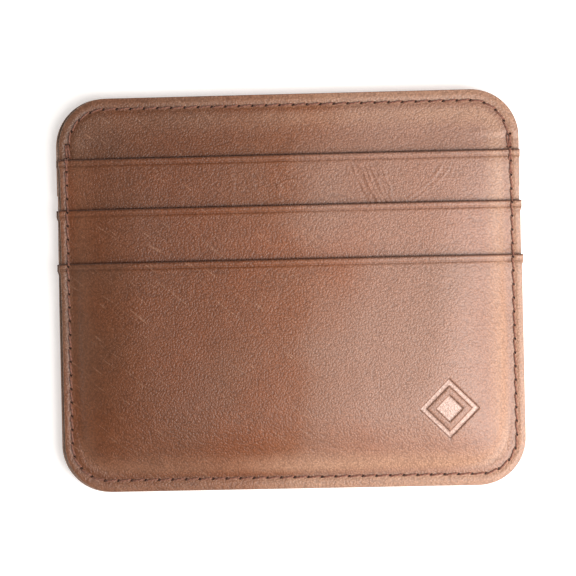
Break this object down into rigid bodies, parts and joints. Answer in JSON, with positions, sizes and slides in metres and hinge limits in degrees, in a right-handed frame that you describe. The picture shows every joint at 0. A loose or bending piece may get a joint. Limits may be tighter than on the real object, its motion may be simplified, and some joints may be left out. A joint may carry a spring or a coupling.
{
  "type": "minimalist wallet",
  "caption": "Slim sewn leather card wallet with stepped card slots on both faces and a cash pocket that opens between two flexible lips.",
  "frame": {"origin": "middle of the wallet's outline, at the level of the surface that its back lies on", "axes": "+Z out of the front face, +Y towards the mouth of the cash pocket, +X to the right as seen from the front"},
  "size_m": [0.102, 0.0864, 0.0085],
  "materials": {
    "leather": "waxed brown leather, semi-matt with a soft sheen",
    "lining": "dark brown woven lining",
    "thread": "reddish brown bonded sewing thread"
  },
  "bodies": {
    "wallet_body": {"front_band": "leather", "front_upper_pocket": "leather", "front_middle_pocket": "leather", "front_lower_pocket": "leather", "front_lining": "lining", "front_upper_pocket_lining": "lining", "front_middle_pocket_lining": "lining", "front_band_stitches": "thread", "front_upper_slot_seam": "thread", "front_middle_slot_seam": "thread", "front_side_seam": "thread", "back_band": "leather", "back_upper_pocket": "leather", "back_middle_pocket": "leather", "back_lower_pocket": "leather", "back_lining": "lining", "back_upper_pocket_lining": "lining", "back_middle_pocket_lining": "lining", "back_band_stitches": "thread", "back_upper_slot_seam": "thread", "back_middle_slot_seam": "thread", "back_side_seam": "thread"},
    "front_lip_flap": {"front_lip": "leather", "front_lip_lining": "lining", "front_lip_stitches": "thread"},
    "back_lip_flap": {"back_lip": "leather", "back_lip_lining": "lining", "back_lip_stitches": "thread"}
  },
  "joints": [
    {"name": "front_lip_flex", "type": "hinge", "parent": "wallet_body", "child": "front_lip_flap", "pos_m": [0, 0.03375, 0.0052], "axis": [1, 0, 0], "range_deg": [0, 18], "stiffness_Nm_per_rad": 0.002, "springref_deg": -2.86},
    {"name": "back_lip_flex", "type": "hinge", "parent": "wallet_body", "child": "back_lip_flap", "pos_m": [0, 0.03375, 0.0033], "axis": [-1, 0, 0], "range_deg": [0, 18], "stiffness_Nm_per_rad": 0.002, "springref_deg": -2.86}
  ]
}
